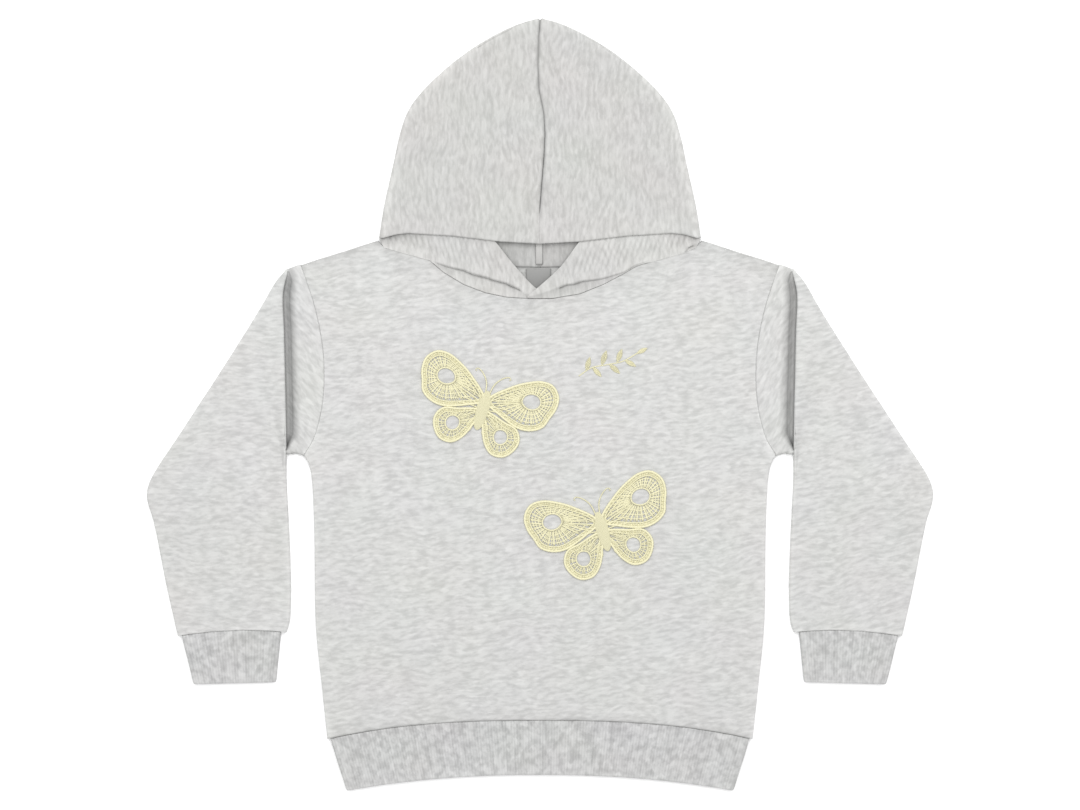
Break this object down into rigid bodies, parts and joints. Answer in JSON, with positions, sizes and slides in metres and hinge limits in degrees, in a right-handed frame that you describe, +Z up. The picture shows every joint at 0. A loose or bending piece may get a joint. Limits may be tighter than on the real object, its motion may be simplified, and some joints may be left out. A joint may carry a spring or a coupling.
{
  "type": "toddler hoodie",
  "caption": "Toddler pullover hoodie laid flat, with a hood, ribbed cuffs and hem band, pleated hanging sleeves and lace butterfly appliques on the front.",
  "frame": {"origin": "on the surface it lies on, under the middle of the garment's outline", "axes": "+Z up out of the surface, +Y towards the hood, +X to the right as seen from above with the front facing up"},
  "size_m": [0.6076, 0.6008, 0.0092],
  "materials": {
    "sweatshirt": "brushed-back melange jersey, matt, pale grey",
    "hood_cloth": "the same melange jersey, grain running up the hood",
    "rib": "fine melange rib, matt",
    "lace": "pale yellow cotton guipure lace, slight thread sheen",
    "tape": "self-cloth seam tape",
    "label": "plain grey woven label, bare"
  },
  "bodies": {
    "root": {"back_panel": "sweatshirt", "front_panel": "sweatshirt", "sleeve_left": "sweatshirt", "sleeve_right": "sweatshirt", "cuff_left": "rib", "cuff_right": "rib", "hem_band": "rib", "hood_left": "hood_cloth", "hood_right": "hood_cloth", "hood_seam_tape": "tape", "neck_label": "label", "butterfly_upper": "lace", "butterfly_lower": "lace"}
  },
  "joints": []
}
